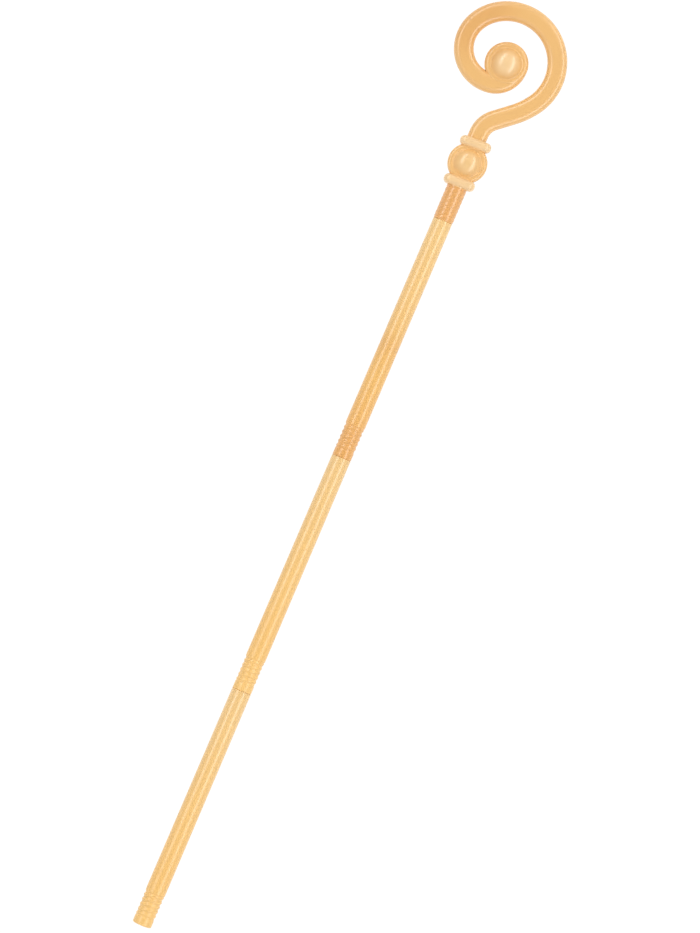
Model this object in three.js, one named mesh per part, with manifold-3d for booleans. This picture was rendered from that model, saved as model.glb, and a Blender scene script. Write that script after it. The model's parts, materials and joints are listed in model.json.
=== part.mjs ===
// A bishop's crosier worn with a costume: a light staff of gold plastic, in four mouldings that
// screw into one another end to end. It is modelled lying down, as it rests on a table: the
// staff's axis runs along +Y from the foot to the crook, the crook lies level and curls to the
// left of the staff, and the floor is z = 0 with the middle of the outline above the origin.
// All sizes are in millimetres.

import * as THREE from "three";
import { mergeVertices } from "three/addons/utils/BufferGeometryUtils.js";
import Module from "manifold-3d";

const wasm = await Module();
wasm.setup();

// The shaft: three tubes, each showing this much of its length, and each a little wider at its
// lower end, where a threaded socket takes the spigot of the tube below
const lowerLength = 475;
const middleLength = 473;
const upperLength = 480;
const tubeTopRadius = 18.6;
const tubeLowRadius = 19.2;
const lipRadius = 18.5;
const footRounding = 3;
const mouthRounding = 1;

// The thread's relief, which shows on the outside of each socket as a right-hand ridge
const threadPitch = 9.3;
const threadStart = 13;
const threadEnd = 64;
const threadValleyRadius = 17.5;
const threadCrestRadius = 18.9;
const threadSharpness = 1.4;
const rowsPerTurn = 4;

// Spigot and bore of each screwed joint
const boreRadius = 15.8;
const boreDepth = 60;
const spigotRadius = 15.1;
const spigotLength = 56;
const spigotChamfer = 2;
const seamGap = 0.3;

// The head's own socket, beaded all over by closer threads
const socketLength = 68;
const beadPitch = 9.1;
const beadRadius = 19.3;
const beadGrooveRadius = 18.4;
const beadGrooveSharpness = 3;

// The two collars: blocks with soft corners and half-round edges, 2 degrees out of square
const collarWidth = 61;
const collarDepth = 46;
const collarThickness = 18.8;
const collarCorner = 12;
const collarCore = 0.3;
const collarLean = 2;
const collarSpacing = 77.2;

// The knop between them: a disc that lies in the crook's plane, with a dome on each face. The
// crest is how high its rounded rim stands, and the valley is where a fillet meets the dome
const knopShape = { radius: 37.3, rim: 6.8, crest: 16.4, valley: 27.3, fillet: 3, dome: 31.5 };

// The crook: a tube of rounded-rectangle section, whose centre line is a chain of bends
const crookWidth = 37.1;
const crookDepth = 28;
const crookCorner = 12;
const crookCrown = 0.5;
const neckOffset = -2;
const crookSteps = 48;

// The eye that ends the crook: another domed disc
const eyeShape = { radius: 41, rim: 8, crest: 14.8, valley: 30.8, fillet: 3.5, dome: 34.3 };
const lastBendRadius = 43;
const lastBendTurn = 79;
const eyeTangentTurn = 87;

// The staff rests on its foot, just above the thread, and on small flats under the knop and eye
const knopFlatDepth = 1.2;
const plainTubeStart = threadEnd + 1;

// How finely round walls are faceted
const sides = 18;
const roundSides = 28;
const arcSteps = 4;
const filletSteps = 2;
const edgeSteps = 3;

const degrees = THREE.MathUtils.degToRad;
const joint1 = lowerLength;
const joint2 = joint1 + middleLength;
const joint3 = joint2 + upperLength;
const lowCollarPlace = joint3 + socketLength + collarThickness / 2;
const knopPlace = lowCollarPlace + collarSpacing / 2;
const topCollarPlace = lowCollarPlace + collarSpacing;

// A closed three.js geometry as a solid that can be joined and cut
function solidOf(geometry) {
  const bare = geometry.clone();
  bare.deleteAttribute("normal");
  bare.deleteAttribute("uv");
  const merged = mergeVertices(bare);
  const corners = merged.index.array;
  const triangles = [];
  for (let i = 0; i < corners.length; i += 3) {
    const [a, b, c] = corners.slice(i, i + 3);
    const flat = a === b || b === c || c === a;
    if (!flat) triangles.push(a, b, c);
  }
  const vertProperties = merged.attributes.position.array;
  const triVerts = new Uint32Array(triangles);
  return new wasm.Manifold(new wasm.Mesh({ numProp: 3, vertProperties, triVerts }));
}

function geometryOf(solid) {
  const mesh = solid.getMesh();
  const geometry = new THREE.BufferGeometry();
  geometry.setAttribute("position", new THREE.BufferAttribute(mesh.vertProperties, 3));
  geometry.setIndex(new THREE.BufferAttribute(mesh.triVerts, 1));
  geometry.computeVertexNormals();
  return geometry;
}

// Points along an arc, for a lathe profile; angles in degrees from the outward direction
function arcPoints(centreRadius, centrePlace, radius, fromAngle, toAngle, steps = arcSteps) {
  const points = [];
  for (let i = 0; i <= steps; i++) {
    const angle = degrees(THREE.MathUtils.lerp(fromAngle, toAngle, i / steps));
    const out = centreRadius + radius * Math.cos(angle);
    points.push(new THREE.Vector2(Math.max(out, 0), centrePlace + radius * Math.sin(angle)));
  }
  return points;
}

// How far round one turn of the thread a place on the wall is, from 0 on the crest to 1
function turnPhase(place, angle, pitch) {
  const turns = place / pitch - angle / (2 * Math.PI);
  return turns - Math.floor(turns);
}

// 1 on the crest of a wave and 0 between crests, narrower as sharpness grows
function crest(phase, sharpness) {
  return ((1 + Math.cos(2 * Math.PI * phase)) / 2) ** sharpness;
}

// The ridge of a shaft socket fades in above the lip and out below the plain tube
function ridgeRadius(place, angle) {
  const fade = threadPitch / 2;
  const run = Math.min(place - threadStart, threadEnd - place) / fade;
  const height = (threadCrestRadius - threadValleyRadius) * THREE.MathUtils.clamp(run, 0, 1);
  return threadValleyRadius + height * crest(turnPhase(place, angle, threadPitch), threadSharpness);
}

// The head's socket is all beads, with a narrow groove between one and the next
function beadedRadius(place, angle) {
  const depth = beadRadius - beadGrooveRadius;
  return beadRadius - depth * crest(turnPhase(place, angle, beadPitch), beadGrooveSharpness);
}

// A lathe turned about the staff's axis, with part of its outer wall shaped by a function
function turned(profile, foot, wallStart, wallEnd, wallRadius) {
  const geometry = new THREE.LatheGeometry(profile, sides);
  const position = geometry.attributes.position;
  for (let i = 0; i < position.count; i++) {
    const [x, y, z] = [position.getX(i), position.getY(i), position.getZ(i)];
    const radius = Math.hypot(x, z);
    const onWall = y > wallStart && y < wallEnd && radius > (boreRadius + threadValleyRadius) / 2;
    if (onWall) {
      const scale = wallRadius(y, Math.atan2(x, z)) / radius;
      position.setXYZ(i, x * scale, y, z * scale);
    }
  }
  return geometry.translate(0, foot, 0);
}

// A shaft section: threaded socket or closed foot below, plain tube, and spigot above
function shaftSection(foot, length, hasSocket) {
  const profile = [];
  if (hasSocket) {
    profile.push(new THREE.Vector2(0, boreDepth), new THREE.Vector2(boreRadius, boreDepth));
    profile.push(new THREE.Vector2(boreRadius, 0));
    profile.push(...arcPoints(lipRadius - mouthRounding, mouthRounding, mouthRounding, -90, 0, 1));
  } else {
    profile.push(new THREE.Vector2(0, 0));
    profile.push(...arcPoints(lipRadius - footRounding, footRounding, footRounding, -90, 0));
  }
  profile.push(new THREE.Vector2(lipRadius, threadStart - 1));
  const rowStep = threadPitch / rowsPerTurn;
  for (let place = threadStart + rowStep / 2; place < threadEnd; place += rowStep) {
    profile.push(new THREE.Vector2(threadValleyRadius, place));
  }
  profile.push(new THREE.Vector2(tubeLowRadius, plainTubeStart));
  const shoulder = length - seamGap;
  const spigotTop = shoulder + spigotLength;
  profile.push(new THREE.Vector2(tubeTopRadius, shoulder - mouthRounding));
  profile.push(new THREE.Vector2(tubeTopRadius - mouthRounding, shoulder));
  profile.push(new THREE.Vector2(spigotRadius, shoulder));
  profile.push(new THREE.Vector2(spigotRadius, spigotTop - spigotChamfer));
  profile.push(new THREE.Vector2(spigotRadius - spigotChamfer, spigotTop));
  profile.push(new THREE.Vector2(0, spigotTop));
  return turned(profile, foot, threadStart, threadEnd, ridgeRadius);
}

// The beaded socket of the head, which runs up into the lower collar
function headSocket() {
  const top = socketLength + collarThickness / 2;
  const profile = [new THREE.Vector2(0, boreDepth), new THREE.Vector2(boreRadius, boreDepth)];
  profile.push(new THREE.Vector2(boreRadius, 0));
  profile.push(...arcPoints(lipRadius - mouthRounding, mouthRounding, mouthRounding, -90, 0, 1));
  const rowStep = beadPitch / rowsPerTurn;
  for (let place = mouthRounding + rowStep / 2; place < socketLength; place += rowStep) {
    profile.push(new THREE.Vector2(beadRadius, place));
  }
  profile.push(new THREE.Vector2(beadRadius, top), new THREE.Vector2(0, top));
  return turned(profile, joint3, mouthRounding, socketLength, beadedRadius);
}

// A rounded rectangle centred on the origin, whose right and left sides bow out by the crown
function roundedRectangle(across, up, corner, crown) {
  const x = across / 2 - corner;
  const y = up / 2 - corner;
  const shape = new THREE.Shape();
  shape.moveTo(across / 2 + crown, 0);
  shape.lineTo(across / 2, y);
  shape.absarc(x, y, corner, 0, Math.PI / 2);
  shape.absarc(-x, y, corner, Math.PI / 2, Math.PI);
  shape.lineTo(-across / 2 - crown, 0);
  shape.absarc(-x, -y, corner, Math.PI, 1.5 * Math.PI);
  shape.absarc(x, -y, corner, 1.5 * Math.PI, 2 * Math.PI);
  shape.closePath();
  return shape;
}

// A collar: the core of its outline, swelled to full size by half-round edges
function collar(place) {
  const edge = collarThickness / 2 - collarCore;
  const width = collarWidth - 2 * edge;
  const depth = collarDepth - 2 * edge;
  const core = roundedRectangle(width, depth, collarCorner - edge, 0);
  const geometry = new THREE.ExtrudeGeometry(core, {
    depth: collarThickness - 2 * edge,
    bevelThickness: edge,
    bevelSize: edge,
    bevelSegments: edgeSteps,
    curveSegments: arcSteps / 2,
  });
  geometry.translate(0, 0, edge - collarThickness / 2);
  geometry.rotateX(Math.PI / 2);
  return geometry.rotateZ(degrees(collarLean)).translate(0, place, 0);
}

// Where a domed disc's arcs are centred, how high its dome stands, and the angles, in degrees,
// at which the dome and the rim run into the fillet between them
function discArcs({ radius, rim, crest: rimTop, valley, fillet, dome }) {
  const lift = Math.asin((radius - rim - valley) / (rim + fillet));
  const slope = Math.asin(valley / (dome + fillet));
  const rimCentre = rimTop - rim;
  const filletCentre = rimCentre + (rim + fillet) * Math.cos(lift);
  const domeCentre = filletCentre - (dome + fillet) * Math.cos(slope);
  return {
    rimCentre,
    filletCentre,
    domeCentre,
    top: domeCentre + dome,
    lift: THREE.MathUtils.radToDeg(lift),
    slope: THREE.MathUtils.radToDeg(slope),
  };
}

// A domed disc turned about the upright axis, from the lower dome out and round to the upper one
function domedDisc(shape, x, y) {
  const { radius, rim, valley, fillet, dome } = shape;
  const { rimCentre, filletCentre, domeCentre, lift, slope } = discArcs(shape);
  const profile = [
    ...arcPoints(0, -domeCentre, dome, -90, slope - 90),
    ...arcPoints(valley, -filletCentre, fillet, 90 + slope, 90 - lift, filletSteps).slice(1),
    ...arcPoints(radius - rim, -rimCentre, rim, -90 - lift, 0, edgeSteps).slice(1),
    ...arcPoints(radius - rim, rimCentre, rim, 0, 90 + lift, edgeSteps),
    ...arcPoints(valley, filletCentre, fillet, lift - 90, -90 - slope, filletSteps).slice(1),
    ...arcPoints(0, domeCentre, dome, 90 - slope, 90).slice(1),
  ];
  return new THREE.LatheGeometry(profile, roundSides).rotateX(Math.PI / 2).translate(x, y, 0);
}

// The crook's centre line: straight stretches and bends, each [radius, degrees turned], where a
// positive radius bends to the right, and a radius of 0 is a straight stretch of that length
const crookBends = [
  [0, 11 + collarThickness / 2],
  [44, 50],
  [0, 38],
  [-150, 17],
  [-95, 160],
  [-82, 26],
  [-66, 125],
  [-lastBendRadius, lastBendTurn],
];

class BendLine extends THREE.Curve {
  constructor(start, bends) {
    super();
    this.stretches = [];
    let place = start.clone();
    let heading = 0;
    for (const [radius, amount] of bends) {
      const length = radius ? Math.abs(radius) * degrees(amount) : amount;
      this.stretches.push({ place, heading, radius, length });
      const end = this.along(this.stretches.at(-1), length);
      place = end.place;
      heading = end.heading;
    }
    this.end = { place, heading };
    this.total = this.stretches.reduce((sum, stretch) => sum + stretch.length, 0);
  }

  // The place and heading a distance into one stretch; heading 0 is up the staff
  along({ place, heading, radius }, distance) {
    const forward = new THREE.Vector3(Math.sin(heading), Math.cos(heading), 0);
    if (!radius) {
      return { place: place.clone().addScaledVector(forward, distance), heading };
    }
    const turn = distance / radius;
    const right = new THREE.Vector3(Math.cos(heading), -Math.sin(heading), 0);
    const end = place.clone().addScaledVector(right, radius * (1 - Math.cos(turn)));
    end.addScaledVector(forward, radius * Math.sin(turn));
    return { place: end, heading: heading + turn };
  }

  getPoint(t, target = new THREE.Vector3()) {
    let left = t * this.total;
    let stretch = this.stretches[0];
    for (stretch of this.stretches) {
      if (left <= stretch.length) break;
      left -= stretch.length;
    }
    return target.copy(this.along(stretch, Math.min(left, stretch.length)).place);
  }
}

const crookLine = new BendLine(new THREE.Vector3(neckOffset, topCollarPlace, 0), crookBends);

function crook() {
  const section = roundedRectangle(crookDepth, crookWidth, crookCorner, crookCrown);
  return new THREE.ExtrudeGeometry(section, {
    steps: crookSteps,
    curveSegments: arcSteps / 2,
    extrudePath: crookLine,
  });
}

// The eye's centre: its edge meets the outer edge of the crook's last bend where both run alike
function eyeCentre() {
  const { place, heading } = crookLine.end;
  const left = new THREE.Vector3(-Math.cos(heading), Math.sin(heading), 0);
  const bendCentre = place.clone().addScaledVector(left, lastBendRadius);
  const meeting = heading - degrees(eyeTangentTurn - lastBendTurn);
  const outward = new THREE.Vector3(Math.cos(meeting), -Math.sin(meeting), 0);
  const inset = lastBendRadius + crookWidth / 2 - eyeShape.radius;
  return bendCentre.addScaledVector(outward, inset);
}

// The floor in the staff's own frame: it touches the lowest tube and cuts the two flats
const knopRest = discArcs(knopShape).top - knopFlatDepth;
const restTilt = Math.asin((knopRest - tubeLowRadius) / (knopPlace - plainTubeStart));
const axisHeight = knopRest - knopPlace * Math.sin(restTilt);

function floorBlock() {
  const [width, length, thickness] = [300, 600, 20];
  const block = new THREE.BoxGeometry(width, length, thickness);
  block.translate(0, knopPlace, -thickness / 2 - axisHeight);
  return block.rotateX(-restTilt);
}

function crookHead() {
  const knop = domedDisc(knopShape, 0, knopPlace);
  const { x, y } = eyeCentre();
  const eye = domedDisc(eyeShape, x, y);
  let head = solidOf(headSocket());
  for (const piece of [collar(lowCollarPlace), knop, collar(topCollarPlace), crook(), eye]) {
    head = head.add(solidOf(piece));
  }
  return geometryOf(head.subtract(solidOf(floorBlock())));
}

function goldPlastic(color, roughness) {
  return new THREE.MeshStandardMaterial({ color, roughness, metalness: 0.35 });
}

const pieces = [
  ["crook_head", crookHead(), goldPlastic(0xedbe7c, 0.34)],
  ["upper_shaft", shaftSection(joint2, upperLength, true), goldPlastic(0xeebf82, 0.38)],
  ["middle_shaft", shaftSection(joint1, middleLength, true), goldPlastic(0xf3c680, 0.38)],
  ["lower_shaft", shaftSection(0, lowerLength, false), goldPlastic(0xf3c680, 0.38)],
];

// The staff lies with its axis rising slightly from the foot to the knop
const staff = new THREE.Group();
staff.rotation.x = restTilt;
for (const [name, geometry, material] of pieces) {
  const mesh = new THREE.Mesh(geometry, material);
  mesh.name = name;
  staff.add(mesh);
}

const crosier = new THREE.Group();
crosier.add(staff);
crosier.updateMatrixWorld(true);
const outline = new THREE.Box3().setFromObject(crosier, true);
const middle = outline.getCenter(new THREE.Vector3());
staff.position.set(-middle.x, -middle.y, axisHeight);

export default crosier;
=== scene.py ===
# A bishop's crosier worn with a costume, in four screw-together mouldings of gold plastic, lying
# on a pale table. The mouldings are made from the foot up: three shaft tubes, then the head.
import json
import math

import bmesh
import bpy
from mathutils import Matrix, Vector


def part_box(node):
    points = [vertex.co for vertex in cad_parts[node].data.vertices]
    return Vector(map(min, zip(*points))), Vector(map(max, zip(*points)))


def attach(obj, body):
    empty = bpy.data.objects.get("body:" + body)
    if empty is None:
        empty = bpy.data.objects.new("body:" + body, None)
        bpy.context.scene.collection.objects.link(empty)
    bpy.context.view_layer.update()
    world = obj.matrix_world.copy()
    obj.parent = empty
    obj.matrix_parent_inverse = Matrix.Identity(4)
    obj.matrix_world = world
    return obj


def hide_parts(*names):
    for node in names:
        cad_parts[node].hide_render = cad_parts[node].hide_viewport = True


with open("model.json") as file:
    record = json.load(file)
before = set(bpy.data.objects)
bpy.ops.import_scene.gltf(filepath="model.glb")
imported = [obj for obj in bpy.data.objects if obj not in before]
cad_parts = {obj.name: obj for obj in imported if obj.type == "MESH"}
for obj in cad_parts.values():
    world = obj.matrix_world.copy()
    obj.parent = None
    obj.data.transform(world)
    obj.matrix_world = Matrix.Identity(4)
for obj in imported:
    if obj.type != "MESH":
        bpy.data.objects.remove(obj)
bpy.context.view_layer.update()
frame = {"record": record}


# ---------------------------------------------------------------------------------------------
# How the staff lies. Each moulding is shaped in millimetres about the staff's own axis, with the
# foot at the origin, the crook up +Y and the crook's face towards +Z. It is laid down last, along
# the line that the foot's flat end gives, because the axis rises a little from foot to knop.
# ---------------------------------------------------------------------------------------------
foot_end = next(m for m in frame["record"]["mounts"] if m["name"] == "foot_end")
rise = math.asin(-foot_end["axis"][2])
millimetre = 0.001
lying = (
    Matrix.Translation(foot_end["pos_m"])
    @ Matrix.Rotation(rise, 4, "X")
    @ Matrix.Scale(millimetre, 4)
)
standing = lying.inverted()
sharp_angle = math.radians(38)


def along_staff(node):
    """Where a moulding starts and ends along the staff, in millimetres from the foot."""
    low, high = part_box(node)
    height = (low.z + high.z) / 2
    return [(standing @ Vector((0, y, height))).y for y in (low.y, high.y)]


def lay_down(bm, name, material, node):
    """Finishes a moulding: lays its mesh in place and stands it for its CAD solid."""
    bmesh.ops.transform(bm, matrix=lying, verts=bm.verts)
    mesh = bpy.data.meshes.new(name)
    bm.to_mesh(mesh)
    bm.free()
    mesh.shade_smooth()
    mesh.set_sharp_from_angle(angle=sharp_angle)
    mesh.materials.append(material)
    piece = bpy.data.objects.new(name, mesh)
    bpy.context.scene.collection.objects.link(piece)
    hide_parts(node)
    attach(piece, "root")


# ---------------------------------------------------------------------------------------------
# The shaft: three plain tubes of blow-moulded gold plastic. Each has a threaded socket at its
# lower end, whose thread shows outside as a rounded right-hand ridge, and a spigot at its upper
# end that screws into the next. The lowest one's socket end is closed and is the staff's foot.
# ---------------------------------------------------------------------------------------------
tube_top_radius = 18.6
tube_low_radius = 19.2
lip_radius = 18.5
thread_pitch = 9.3
thread_start = 15.0
thread_end = 65.0
thread_valley = 17.5
thread_height = 1.4
thread_sharpness = 1.4
thread_fade = thread_pitch / 3
valley_rounding = 0.8
step_rounding = 1.0
first_crest = 12.0
bore_radius = 15.8
bore_depth = 60.0
spigot_radius = 15.1
spigot_length = 56.0
spigot_chamfer = 2.0
foot_rounding = 3.0
mouth_rounding = 1.2
bore_rounding = 0.4
shoulder_rounding = 1.4
wall_steps = 96
relief_spacing = 0.5
relief_limit = (bore_radius + thread_valley) / 2


def profile(bm, corners):
    """A lathe profile of straight runs. Each corner is (radius, place, rounding)."""
    verts = [bm.verts.new((radius, place, 0)) for radius, place, _ in corners]
    for first, second in zip(verts, verts[1:]):
        bm.edges.new((first, second))
    for vert, (_, _, rounding) in zip(verts, corners):
        if rounding:
            bmesh.ops.bevel(
                bm, geom=[vert], offset=rounding, offset_type="OFFSET", affect="VERTICES",
                segments=5, profile=0.5, material=-1,
            )


def turn(bm, axis, steps=wall_steps):
    """Spins everything drawn so far once round an axis through the origin into a closed skin."""
    bmesh.ops.spin(
        bm, geom=bm.verts[:] + bm.edges[:], cent=(0, 0, 0), axis=axis, dvec=(0, 0, 0),
        angle=2 * math.pi, steps=steps, use_merge=True, use_normal_flip=False,
        use_duplicate=False,
    )
    bmesh.ops.remove_doubles(bm, verts=bm.verts, dist=0.001)
    bmesh.ops.dissolve_degenerate(bm, edges=bm.edges, dist=0.0001)
    bmesh.ops.recalc_face_normals(bm, faces=bm.faces)


def slice_wall(bm, start, end):
    """Cuts the straight run of profile that crosses a band, so that relief can be raised there."""
    for edge in bm.edges[:]:
        places = sorted(vert.co.y for vert in edge.verts)
        outside = min(vert.co.x for vert in edge.verts) > relief_limit
        if outside and places[0] <= start and places[1] >= end:
            cuts = round((places[1] - places[0]) / relief_spacing)
            bmesh.ops.subdivide_edges(bm, edges=[edge], cuts=cuts)


def raise_relief(bm, start, end, shaped):
    """Moves the outer wall of a band in or out, to the radius that a function gives for each
    vertex from its radius now, its place along the staff and its angle round it."""
    for vert in bm.verts:
        x, place, z = vert.co
        radius = math.hypot(x, z)
        if start < place < end and radius > relief_limit:
            scale = shaped(radius, place, math.atan2(x, z)) / radius
            vert.co = (x * scale, place, z * scale)


def smooth_step(value):
    value = min(max(value, 0.0), 1.0)
    return value * value * (3 - 2 * value)


def threaded(radius, place, angle):
    """The thread's ridge: a smooth wave with wide valleys, fading out at both of its ends."""
    turns = (place - first_crest) / thread_pitch - angle / (2 * math.pi)
    wave = (0.5 + 0.5 * math.cos(2 * math.pi * turns)) ** thread_sharpness
    run = min(place - thread_start, thread_end - place) / thread_fade
    return max(radius, thread_valley + thread_height * wave * smooth_step(run))


def shaft_tube(node, name, closed_foot, material):
    """A tube from its foot or socket mouth up to the tip of its spigot."""
    start, top = along_staff(node)
    shoulder = top - start - spigot_length
    mouth = [(0, bore_depth, 0), (bore_radius, bore_depth, 0), (bore_radius, 0, bore_rounding)]
    bm = bmesh.new()
    profile(bm, ([(0, 0, 0)] if closed_foot else mouth) + [
        (lip_radius, 0, foot_rounding if closed_foot else mouth_rounding),
        (lip_radius, thread_start - 1, valley_rounding),
        (thread_valley, thread_start + 1, valley_rounding),
        (thread_valley, thread_end - 3, step_rounding),
        (tube_low_radius, thread_end, step_rounding),
        (tube_top_radius, shoulder, shoulder_rounding),
        (spigot_radius, shoulder, 0),
        (spigot_radius, shoulder + spigot_length, spigot_chamfer),
        (0, shoulder + spigot_length, 0),
    ])
    slice_wall(bm, thread_start + 2, thread_end - 4)
    turn(bm, (0, 1, 0))
    raise_relief(bm, thread_start, thread_end, threaded)
    bmesh.ops.translate(bm, verts=bm.verts, vec=(0, start, 0))
    lay_down(bm, name, material, node)


def feed(tree, sockets, values):
    """Sets each socket to its value, or links it where the value is a socket."""
    for socket, value in zip(sockets, values):
        if isinstance(value, bpy.types.NodeSocket):
            tree.links.new(value, socket)
        else:
            socket.default_value = value


def calc(tree, operation, *values, clamp=False):
    node = tree.nodes.new("ShaderNodeMath")
    node.operation = operation
    node.use_clamp = clamp
    feed(tree, node.inputs, values)
    return node.outputs[0]


def new_group(name, inputs, outputs):
    """Starts a node group and gives it with its input and output sockets."""
    tree = bpy.data.node_groups.new(name, "ShaderNodeTree")
    for direction, sockets in (("INPUT", inputs), ("OUTPUT", outputs)):
        for label, kind in sockets.items():
            tree.interface.new_socket(label, in_out=direction, socket_type=f"NodeSocket{kind}")
    given = tree.nodes.new("NodeGroupInput").outputs
    result = tree.nodes.new("NodeGroupOutput").inputs
    return tree, given, result


def use_group(tree, group, **values):
    """Puts a group into a tree; a name's underscores stand for the spaces of its socket."""
    node = tree.nodes.new("ShaderNodeGroup")
    node.node_tree = group
    feed(tree, [node.inputs[label.replace("_", " ")] for label in values], values.values())
    return node.outputs


def vector_calc(tree, operation, *values):
    """The outputs of a vector maths node: "Vector", or "Value" where the result is a number."""
    node = tree.nodes.new("ShaderNodeVectorMath")
    node.operation = operation
    feed(tree, node.inputs, values)
    return node.outputs


def noise(tree, position, scale, detail):
    node = tree.nodes.new("ShaderNodeTexNoise")
    feed(
        tree, (node.inputs["Vector"], node.inputs["Scale"], node.inputs["Detail"]),
        (position, scale, detail),
    )
    return node.outputs["Fac"]


def moulded_plastic_group():
    """What all four mouldings share: faint flow marks in the pearl colour, a fine grain, and the
    witness line that the two halves of the mould leave all round the sides."""
    tree, given, result = new_group(
        "moulded_plastic",
        {"Position": "Vector", "Colour": "Color", "Roughness": "Float", "Plane Normal": "Vector",
         "Plane Offset": "Float", "Flow Scale": "Vector", "Flow Strength": "Float",
         "Gloss Swing": "Float", "Line Height": "Float", "Line Width": "Float",
         "Grain Scale": "Float", "Grain Height": "Float"},
        {"Base Color": "Color", "Roughness": "Float", "Bump Height": "Float"},
    )
    stretched = vector_calc(tree, "MULTIPLY", given["Position"], given["Flow Scale"])["Vector"]
    flow = calc(tree, "SUBTRACT", noise(tree, stretched, 1.0, 3.0), 0.5)
    swing = calc(tree, "MULTIPLY", flow, given["Flow Strength"])
    shade = tree.nodes.new("ShaderNodeVectorMath")
    shade.operation = "SCALE"
    tree.links.new(given["Colour"], shade.inputs[0])
    tree.links.new(calc(tree, "ADD", swing, 1.0), shade.inputs["Scale"])
    tree.links.new(shade.outputs[0], result["Base Color"])
    gloss_swing = calc(tree, "MULTIPLY", swing, given["Gloss Swing"])
    tree.links.new(calc(tree, "ADD", given["Roughness"], gloss_swing), result["Roughness"])
    place = vector_calc(tree, "DOT_PRODUCT", given["Position"], given["Plane Normal"])["Value"]
    off_plane = calc(tree, "ABSOLUTE", calc(tree, "ADD", place, given["Plane Offset"]))
    outside = calc(tree, "DIVIDE", off_plane, given["Line Width"])
    line = calc(tree, "SUBTRACT", 1.0, outside, clamp=True)
    line_height = calc(tree, "MULTIPLY", line, given["Line Height"])
    grain = noise(tree, given["Position"], given["Grain Scale"], 0.0)
    grain_height = calc(tree, "MULTIPLY", grain, given["Grain Height"])
    tree.links.new(calc(tree, "ADD", line_height, grain_height), result["Bump Height"])
    return tree


moulded_plastic = moulded_plastic_group()


def gold_plastic(name):
    """A satin pearl-gold plastic with its colour left open. Gives the material, its tree, the
    position in metres, and a function that takes the finished colour and roughness."""
    material = bpy.data.materials.new(name)
    material.use_nodes = True
    tree = material.node_tree
    shader = tree.nodes["Principled BSDF"]
    shader.inputs["IOR"].default_value = 1.5
    shader.inputs["Specular IOR Level"].default_value = 1.0
    position = tree.nodes.new("ShaderNodeTexCoord").outputs["Object"]

    def finish(colour, roughness):
        moulded = use_group(
            tree, moulded_plastic, Position=position, Colour=colour, Roughness=roughness,
            Plane_Normal=standing[2][:3], Plane_Offset=standing[2][3],
            Flow_Scale=(40, 9, 40), Flow_Strength=0.05, Gloss_Swing=-0.6,
            Line_Height=0.12, Line_Width=0.5, Grain_Scale=260.0, Grain_Height=0.004,
        )
        bump = tree.nodes.new("ShaderNodeBump")
        bump.inputs["Distance"].default_value = millimetre
        tree.links.new(moulded["Bump Height"], bump.inputs["Height"])
        tree.links.new(moulded["Base Color"], shader.inputs["Base Color"])
        tree.links.new(moulded["Roughness"], shader.inputs["Roughness"])
        tree.links.new(bump.outputs["Normal"], shader.inputs["Normal"])

    return material, tree, position, finish


def ramp(tree, factor, stops):
    """A colour ramp from stops of (position, colour)."""
    node = tree.nodes.new("ShaderNodeValToRGB")
    elements = node.color_ramp.elements
    while len(elements) < len(stops):
        elements.new(0.5)
    for element, (position, colour) in zip(elements, stops):
        element.position = position
        element.color = (*colour, 1)
    tree.links.new(factor, node.inputs["Fac"])
    return node.outputs["Color"]


def tube_plastic(node, name, colours, low_roughness, top_roughness):
    """The plastic of one tube, whose colour and gloss change from its lower end to its top."""
    low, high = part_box(node)
    material, tree, position, finish = gold_plastic(name)
    split = tree.nodes.new("ShaderNodeSeparateXYZ")
    tree.links.new(position, split.inputs["Vector"])
    along = tree.nodes.new("ShaderNodeMapRange")
    feed(
        tree, (along.inputs["Value"], along.inputs["From Min"], along.inputs["From Max"]),
        (split.outputs["Y"], low.y, high.y - spigot_length * millimetre),
    )
    part_way = along.outputs["Result"]
    roughness = tree.nodes.new("ShaderNodeMapRange")
    feed(
        tree, (roughness.inputs["Value"], roughness.inputs["To Min"], roughness.inputs["To Max"]),
        (part_way, low_roughness, top_roughness),
    )
    finish(ramp(tree, part_way, colours), roughness.outputs["Result"])
    return material


# Colours by how far up the tube's showing length they are reached
plain_colours = [
    (0.0, (0.905, 0.553, 0.172)),
    (0.08, (0.897, 0.540, 0.163)),
    (0.2, (0.889, 0.522, 0.155)),
    (0.55, (0.875, 0.540, 0.185)),
    (0.95, (0.863, 0.559, 0.224)),
]
upper_colours = [
    (0.0, (0.800, 0.400, 0.107)),
    (0.1, (0.800, 0.405, 0.110)),
    (0.16, (0.846, 0.457, 0.128)),
    (0.34, (0.854, 0.490, 0.143)),
    (0.42, (0.845, 0.480, 0.142)),
    (0.47, (0.810, 0.452, 0.140)),
    (0.54, (0.846, 0.508, 0.170)),
    (0.66, (0.871, 0.540, 0.196)),
    (0.97, (0.871, 0.566, 0.224)),
]
top_roughness = 0.27
for node, name, closed_foot, colours, low_roughness in (
    ("lower_shaft", "foot", True, plain_colours, 0.36),
    ("middle_shaft", "middle", False, plain_colours, 0.36),
    ("upper_shaft", "upper", False, upper_colours, 0.3),
):
    gold = tube_plastic(node, f"{name}_gold", colours, low_roughness, top_roughness)
    shaft_tube(node, f"{name}_tube", closed_foot, gold)


# ---------------------------------------------------------------------------------------------
# The head: one hollow moulding of the same plastic, whose parts run into one another. From below
# it has a beaded socket for the upper tube, a collar, the knop, a second collar, and the crook,
# which curls round to the left and ends in a domed eye.
# ---------------------------------------------------------------------------------------------
head_start, _ = along_staff("crook_head")
socket_length = 68.0
socket_run_in = 3.0
socket_lip = 0.6
collar_thickness = 18.8
collar_spacing = 77.2
low_collar_place = head_start + socket_length + collar_thickness / 2
knop_place = low_collar_place + collar_spacing / 2
top_collar_place = low_collar_place + collar_spacing

bead_pitch = 9.1
bead_radius = 19.3
groove_depth = 0.9


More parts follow.
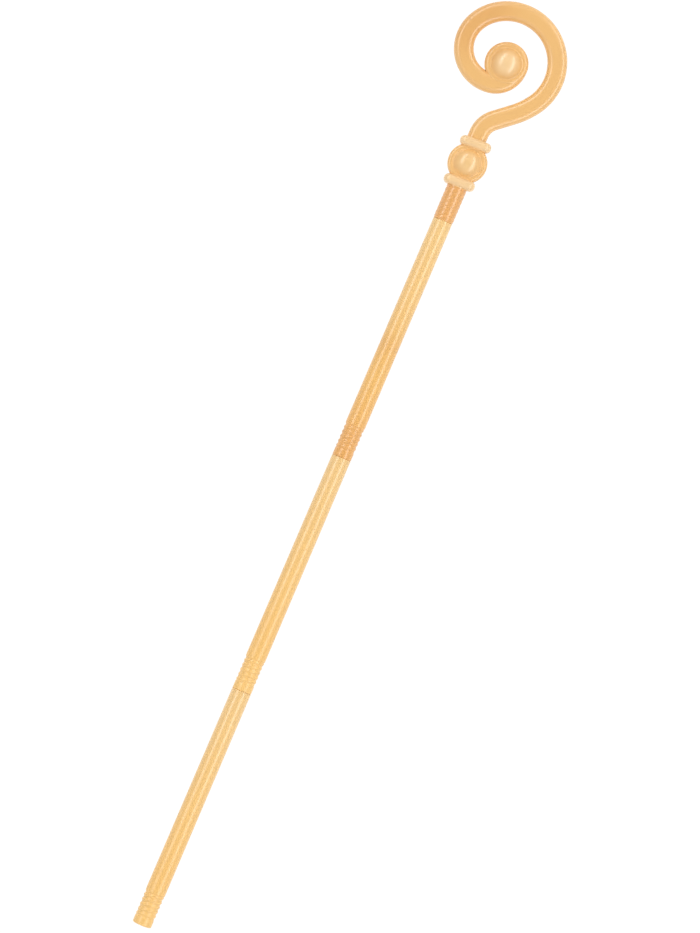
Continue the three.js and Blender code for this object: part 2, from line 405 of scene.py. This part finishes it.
def beaded(radius, place, angle):
    """Wide round beads, the arc of a circle each, that meet in a narrow groove."""
    turns = place / bead_pitch - angle / (2 * math.pi)
    from_groove = abs(turns - round(turns)) * 2
    return radius - groove_depth * (1 - math.sqrt(1 - (1 - from_groove) ** 2))


def head_socket():
    """A bored stub, beaded right round by close threads with a narrow groove between turns."""
    beads_start = socket_run_in + 1
    socket_end = socket_length + socket_run_in
    bm = bmesh.new()
    profile(bm, [
        (0, bore_depth, 0),
        (bore_radius, bore_depth, 0),
        (bore_radius, 0, bore_rounding),
        (bead_radius - socket_lip, 0, mouth_rounding),
        (bead_radius - socket_lip, socket_run_in, 0),
        (bead_radius, beads_start, 0),
        (bead_radius, socket_end, 0),
        (0, socket_end, 0),
    ])
    slice_wall(bm, beads_start, socket_length)
    turn(bm, (0, 1, 0))
    raise_relief(bm, beads_start - 0.5, socket_end - 1, beaded)
    bmesh.ops.translate(bm, verts=bm.verts, vec=(0, head_start, 0))
    return bm


collar_width = 61.0
collar_depth = 46.0
collar_corner = 12.0
collar_core = 0.2
collar_lean = math.radians(2)


def collar(place):
    """A block with soft corners and half-round edges, set a little out of square."""
    bm = bmesh.new()
    bmesh.ops.create_cube(bm, size=1)
    bmesh.ops.scale(bm, vec=(collar_width, collar_thickness, collar_depth), verts=bm.verts)
    corners = [e for e in bm.edges if abs(e.verts[0].co.y - e.verts[1].co.y) > 1]
    bmesh.ops.bevel(
        bm, geom=corners, offset=collar_corner, offset_type="OFFSET", affect="EDGES",
        segments=10, profile=0.5, material=-1,
    )
    rims = [e for e in bm.edges if abs(e.verts[0].co.y - e.verts[1].co.y) < 1]
    bmesh.ops.bevel(
        bm, geom=rims, offset=collar_thickness / 2 - collar_core, offset_type="OFFSET",
        affect="EDGES", segments=10, profile=0.5, material=-1,
    )
    bmesh.ops.recalc_face_normals(bm, faces=bm.faces)
    bmesh.ops.transform(
        bm, matrix=Matrix.Translation((0, place, 0)) @ Matrix.Rotation(collar_lean, 4, "Z"),
        verts=bm.verts,
    )
    return bm


def arc(bm, vert, centre, degrees, steps):
    """Draws an arc of a profile in the XZ plane from a vertex and gives the vertex it ends on."""
    made = bmesh.ops.spin(
        bm, geom=[vert], cent=centre, axis=(0, 1, 0), dvec=(0, 0, 0),
        angle=math.radians(degrees), steps=steps, use_merge=False, use_normal_flip=False,
        use_duplicate=False,
    )
    return next(item for item in made["geom_last"] if isinstance(item, bmesh.types.BMVert))


def domed_disc(radius, rim, crest, valley, fillet, dome):
    """A disc with a dome on each face. The profile runs from the top of the dome, through the
    fillet in the valley round its foot, over the crest of the rim and down the side, and back the
    same way; it is then spun. The crest is a height, and the rest are radii."""
    lift = math.asin((radius - rim - valley) / (rim + fillet))
    slope = math.asin(valley / (dome + fillet))
    rim_centre = crest - rim
    fillet_centre = rim_centre + (rim + fillet) * math.cos(lift)
    dome_centre = fillet_centre - (dome + fillet) * math.cos(slope)
    outward = math.degrees(slope), -math.degrees(slope + lift), 90 + math.degrees(lift)
    dome_steps, fillet_steps, rim_steps, disc_steps = 30, 14, 22, 120
    bm = bmesh.new()
    pen = bm.verts.new((0, 0, dome_centre + dome))
    pen = arc(bm, pen, (0, 0, dome_centre), outward[0], dome_steps)
    pen = arc(bm, pen, (valley, 0, fillet_centre), outward[1], fillet_steps)
    pen = arc(bm, pen, (radius - rim, 0, rim_centre), outward[2], rim_steps)
    under = bm.verts.new((radius, 0, -rim_centre))
    bm.edges.new((pen, under))
    pen = arc(bm, under, (radius - rim, 0, -rim_centre), outward[2], rim_steps)
    pen = arc(bm, pen, (valley, 0, -fillet_centre), outward[1], fillet_steps)
    arc(bm, pen, (0, 0, -dome_centre), outward[0], dome_steps)
    turn(bm, (0, 0, 1), disc_steps)
    return bm


def knop():
    bm = domed_disc(radius=37.3, rim=6.8, crest=16.4, valley=27.3, fillet=3.0, dome=31.5)
    bmesh.ops.translate(bm, verts=bm.verts, vec=(0, knop_place, 0))
    return bm


crook_width = 37.1
crook_depth = 28.0
crook_corner = 12.0
neck_offset = -2.0
last_radius = 43.0
last_turn = 79
bends = [
    (0, 11 + collar_thickness / 2),
    (44, 50),
    (0, 38),
    (-150, 17),
    (-95, 160),
    (-82, 26),
    (-66, 125),
    (-last_radius, last_turn),
]


def crook():
    """A tube of rounded-rectangle section, swept up the neck and round a chain of bends. Each
    bend is (radius, degrees), to the right if positive; a radius of 0 is a straight length."""
    bm = bmesh.new()
    bmesh.ops.create_grid(bm, x_segments=1, y_segments=1, size=0.5)
    bmesh.ops.scale(bm, vec=(crook_width, crook_depth, 1), verts=bm.verts)
    bmesh.ops.bevel(
        bm, geom=bm.verts[:], offset=crook_corner, offset_type="OFFSET", affect="VERTICES",
        segments=8, profile=0.5, material=-1,
    )
    bmesh.ops.delete(bm, geom=bm.faces[:], context="FACES_ONLY")
    flats = [e for e in bm.edges if e.calc_length() > crook_width - 2 * crook_corner - 1]
    bmesh.ops.subdivide_edges(bm, edges=flats, cuts=5)
    place = Vector((neck_offset, top_collar_place, 0))
    upright = Matrix.Rotation(math.pi / 2, 4, "X")
    bmesh.ops.transform(bm, matrix=Matrix.Translation(place) @ upright, verts=bm.verts)
    ring = bm.verts[:] + bm.edges[:]
    heading = 0.0
    for radius, amount in bends:
        forward = Vector((math.sin(heading), math.cos(heading), 0))
        right = Vector((math.cos(heading), -math.sin(heading), 0))
        if radius:
            centre = place + right * radius
            angle = math.copysign(math.radians(amount), radius)
            steps = max(4, round(amount / 2))
            step_move = Vector((0, 0, 0))
            place = centre + Matrix.Rotation(-angle, 3, "Z") @ (place - centre)
            heading += angle
        else:
            centre = place
            angle = 0.0
            steps = max(2, round(amount / 4))
            step_move = forward * (amount / steps)
            place = place + forward * amount
        made = bmesh.ops.spin(
            bm, geom=ring, cent=centre, axis=(0, 0, -1), dvec=step_move, angle=angle,
            steps=steps, use_merge=False, use_normal_flip=False, use_duplicate=False,
        )
        ring = made["geom_last"]
    bmesh.ops.holes_fill(bm, edges=bm.edges, sides=0)
    bmesh.ops.recalc_face_normals(bm, faces=bm.faces)
    return bm, place, heading


eye_radius = 41.0
eye_meeting_turn = 87


def eye(crook_end, heading):
    """A round-edged disc with a dome on each face; its edge meets the crook's outer edge."""
    left = Vector((-math.cos(heading), math.sin(heading), 0))
    meeting = heading - math.radians(eye_meeting_turn - last_turn)
    outward = Vector((math.cos(meeting), -math.sin(meeting), 0))
    inset = last_radius + crook_width / 2 - eye_radius
    centre = crook_end + left * last_radius + outward * inset
    bm = domed_disc(radius=eye_radius, rim=8.0, crest=14.8, valley=30.8, fillet=3.5, dome=34.3)
    bmesh.ops.translate(bm, verts=bm.verts, vec=centre)
    return bm, centre


def joined(shapes):
    """Joins closed shapes into one skin, as the moulding is one piece."""
    holders = []
    for index, bm in enumerate(shapes):
        mesh = bpy.data.meshes.new(f"shape_{index}")
        bm.to_mesh(mesh)
        bm.free()
        holder = bpy.data.objects.new(f"shape_{index}", mesh)
        bpy.context.scene.collection.objects.link(holder)
        holders.append(holder)
    base = holders[0]
    for other in holders[1:]:
        union = base.modifiers.new("union", "BOOLEAN")
        union.operation = "UNION"
        union.solver = "EXACT"
        union.object = other
    bpy.context.view_layer.update()
    evaluated = base.evaluated_get(bpy.context.evaluated_depsgraph_get())
    whole = bpy.data.meshes.new_from_object(evaluated)
    for holder in holders:
        bpy.data.objects.remove(holder)
    bm = bmesh.new()
    bm.from_mesh(whole)
    bpy.data.meshes.remove(whole)
    bmesh.ops.remove_doubles(bm, verts=bm.verts, dist=0.01)
    return bm


crook_skin, crook_end, crook_heading = crook()
eye_skin, eye_centre = eye(crook_end, crook_heading)
head_skin = joined([
    head_socket(),
    collar(low_collar_place),
    knop(),
    collar(top_collar_place),
    crook_skin,
    eye_skin,
])

# The undersides of the knop and the eye have small flats that keep the staff from rolling
floor_point = standing @ Vector((0, 0, 0))
floor_normal = (standing.to_3x3() @ Vector((0, 0, 1))).normalized()
bmesh.ops.bisect_plane(
    head_skin, geom=head_skin.verts[:] + head_skin.edges[:] + head_skin.faces[:], dist=0.0001,
    plane_co=floor_point, plane_no=floor_normal, clear_inner=True,
)
bmesh.ops.holes_fill(head_skin, edges=[e for e in head_skin.edges if e.is_boundary], sides=0)


def round_patch_group():
    """Full inside one distance from an upright line through the centre, none beyond another."""
    tree, given, result = new_group(
        "round_patch",
        {"Position": "Vector", "Centre": "Vector", "Inner": "Float", "Outer": "Float"},
        {"Mask": "Float"},
    )
    away = vector_calc(tree, "SUBTRACT", given["Position"], given["Centre"])["Vector"]
    level = vector_calc(tree, "MULTIPLY", away, (1, 1, 0))["Vector"]
    distance = vector_calc(tree, "LENGTH", level)["Value"]
    fade = tree.nodes.new("ShaderNodeMapRange")
    fade.interpolation_type = "SMOOTHSTEP"
    feed(tree, fade.inputs, (distance, given["Outer"], given["Inner"]))
    tree.links.new(fade.outputs["Result"], result["Mask"])
    return tree


def band_group():
    """Full between two planes square to a direction, with soft edges."""
    tree, given, result = new_group(
        "band",
        {"Position": "Vector", "Centre": "Vector", "Direction": "Vector", "Half Width": "Float",
         "Softness": "Float"},
        {"Mask": "Float"},
    )
    away = vector_calc(tree, "SUBTRACT", given["Position"], given["Centre"])["Vector"]
    along = vector_calc(tree, "DOT_PRODUCT", away, given["Direction"])["Value"]
    distance = calc(tree, "ABSOLUTE", along)
    inside = calc(tree, "SUBTRACT", given["Half Width"], distance)
    mask = calc(tree, "DIVIDE", inside, given["Softness"], clamp=True)
    tree.links.new(mask, result["Mask"])
    return tree


shaded_side = (-90, 1800)
plain_gold = (0.858, 0.500, 0.180, 1)
shaded_gold = (0.797, 0.428, 0.141, 1)
socket_gold = (0.797, 0.400, 0.122, 1)
knop_dome_highlight_gold = (0.880, 0.567, 0.246, 1)
eye_dome_highlight_gold = (0.905, 0.610, 0.305, 1)
collar_sheen_gold = (0.900, 0.610, 0.310, 1)
head_roughness = 0.25


def head_plastic():
    """The moulding is darkest at the socket and round the left of the crook. It is palest over the
    collars and the domes of the knop and the eye, partly in its own colour and partly as painted
    highlight."""
    material, tree, position, finish = gold_plastic("head_gold")
    round_patch = round_patch_group()
    band = band_group()
    across_collar = Vector((-math.sin(collar_lean), math.cos(collar_lean), 0))
    half_collar = collar_thickness / 2 + 0.5

    def patch(x, y, inner, outer):
        """A round patch: full out to the inner radius and gone by the outer one."""
        return use_group(
            tree, round_patch, Position=position, Centre=lying @ Vector((x, y, 0)),
            Inner=inner * millimetre, Outer=outer * millimetre,
        )["Mask"]

    def belt(y, half_width, direction=(0, 1, 0), softness=1.0):
        """A band round the staff, half its width to each side of a place along it."""
        return use_group(
            tree, band, Position=position, Centre=lying @ Vector((0, y, 0)),
            Direction=direction, Half_Width=half_width * millimetre,
            Softness=softness * millimetre,
        )["Mask"]

    colour = plain_gold
    for mask, tint in (
        (patch(*shaded_side, 30, 105), shaded_gold),
        (belt(head_start + socket_length / 2, socket_length / 2), socket_gold),
        # Painted highlight, in part: the domes of the knop and the eye are paler towards their
        # centres, where their rounded faces catch the light
        (patch(0, knop_place, 6, 27), knop_dome_highlight_gold),
        (patch(eye_centre.x, eye_centre.y, 8, 30), eye_dome_highlight_gold),
        # Painted sheen, in part: the collars are paler all over, for the light their half-round
        # faces catch
        (belt(low_collar_place, half_collar, across_collar), collar_sheen_gold),
        (belt(top_collar_place, half_collar, across_collar), collar_sheen_gold),
    ):
        mix = tree.nodes.new("ShaderNodeMix")
        mix.data_type = "RGBA"
        inputs = {socket.identifier: socket for socket in mix.inputs}
        sockets = inputs["Factor_Float"], inputs["A_Color"], inputs["B_Color"]
        feed(tree, sockets, (mask, colour, tint))
        colour = next(socket for socket in mix.outputs if socket.identifier == "Result_Color")
    finish(colour, head_roughness)
    return material


lay_down(head_skin, "crook_head_moulding", head_plastic(), "crook_head")


# ---------------------------------------------------------------------------------------------
# The table top: a plain white sheet under the lying staff. It glows of itself, so that it is
# evenly white right out to its edges.
# ---------------------------------------------------------------------------------------------
table = bmesh.new()
bmesh.ops.create_grid(table, x_segments=1, y_segments=1, size=15)
table_mesh = bpy.data.meshes.new("table_top")
table.to_mesh(table_mesh)
table.free()
table_top = bpy.data.objects.new("table_top", table_mesh)
bpy.context.scene.collection.objects.link(table_top)
table_white = bpy.data.materials.new("table_white")
table_white.use_nodes = True
white = table_white.node_tree.nodes["Principled BSDF"]
white.inputs["Base Color"].default_value = (0.05, 0.05, 0.05, 1)
white.inputs["Roughness"].default_value = 1.0
white.inputs["Specular IOR Level"].default_value = 0.0
white.inputs["Emission Color"].default_value = (1, 1, 1, 1)
white.inputs["Emission Strength"].default_value = 1.0
table_mesh.materials.append(table_white)


# ---------------------------------------------------------------------------------------------
# The studio: a pale surround, brightest in a ring half-way down from overhead and a little
# brighter towards the foot, and one broad soft light on each side of the staff. The camera looks
# straight down, turned so that the staff leans.
# ---------------------------------------------------------------------------------------------
def softbox_group():
    """A long soft light standing along one side of the staff, drawn on the surround. Places are
    tangents of the angle from overhead: Across is the distance to the side, Low and High are the
    ends along the staff."""
    tree, given, result = new_group(
        "softbox",
        {"Direction": "Vector", "Side": "Float", "Across": "Float", "Half Width": "Float",
         "Low": "Float", "High": "Float", "End Softness": "Float", "Level": "Float"},
        {"Light": "Float"},
    )
    split = tree.nodes.new("ShaderNodeSeparateXYZ")
    tree.links.new(given["Direction"], split.inputs["Vector"])
    height = calc(tree, "MAXIMUM", split.outputs["Z"], 0.02)
    across = calc(tree, "MULTIPLY", calc(tree, "DIVIDE", split.outputs["X"], height), given["Side"])
    along = calc(tree, "DIVIDE", split.outputs["Y"], height)
    off_centre = calc(tree, "ABSOLUTE", calc(tree, "SUBTRACT", across, given["Across"]))
    widths = calc(tree, "DIVIDE", off_centre, given["Half Width"])
    inside = calc(tree, "SUBTRACT", 1.5, widths, clamp=True)
    above = calc(tree, "SUBTRACT", along, given["Low"])
    below = calc(tree, "SUBTRACT", given["High"], along)
    from_end = calc(tree, "MINIMUM", above, below)
    ends = calc(tree, "DIVIDE", from_end, given["End Softness"], clamp=True)
    lit = calc(tree, "MULTIPLY", calc(tree, "MULTIPLY", inside, ends), given["Level"])
    tree.links.new(lit, result["Light"])
    return tree


surround = bpy.data.worlds.new("surround")
surround.use_nodes = True
sky = surround.node_tree
direction = sky.nodes.new("ShaderNodeTexCoord").outputs["Generated"]
split = sky.nodes.new("ShaderNodeSeparateXYZ")
sky.links.new(direction, split.inputs["Vector"])
foot_fill = 0.2
walls = [(0.0, 0.5), (0.3, 0.55), (0.6, 0.7), (0.85, 0.53), (1.0, 0.2)]
light_sum = ramp(sky, split.outputs["Z"], [(height, (level,) * 3) for height, level in walls])
footward = calc(sky, "MAXIMUM", calc(sky, "MULTIPLY", split.outputs["Y"], -1.0), 0.0)
light_sum = calc(sky, "ADD", light_sum, calc(sky, "MULTIPLY", footward, foot_fill))
softbox = softbox_group()
for side, low, high, level in ((1, -1.5, 2.6, 3.4), (-1, -0.6, 2.6, 3.5)):
    light = use_group(
        sky, softbox, Direction=direction, Side=side, Across=0.88, Half_Width=0.23, Low=low,
        High=high, End_Softness=0.5, Level=level,
    )["Light"]
    light_sum = calc(sky, "ADD", light_sum, light)
sky.links.new(light_sum, sky.nodes["Background"].inputs["Color"])
bpy.context.scene.world = surround

camera_data = bpy.data.cameras.new("overhead")
camera_data.lens = 200
camera_data.sensor_width = 36
view_height = 1.7388
view_lean = math.radians(23.168)
camera = bpy.data.objects.new("overhead", camera_data)
camera.location = (
    foot_end["pos_m"][0] + 0.0211,
    foot_end["pos_m"][1] + 0.9388,
    view_height * camera_data.lens / camera_data.sensor_width + 0.026,
)
camera.rotation_euler = (0, 0, view_lean)
camera_data.clip_end = 100
bpy.context.scene.collection.objects.link(camera)
bpy.context.scene.camera = camera
bpy.context.scene.view_settings.view_transform = "Standard"
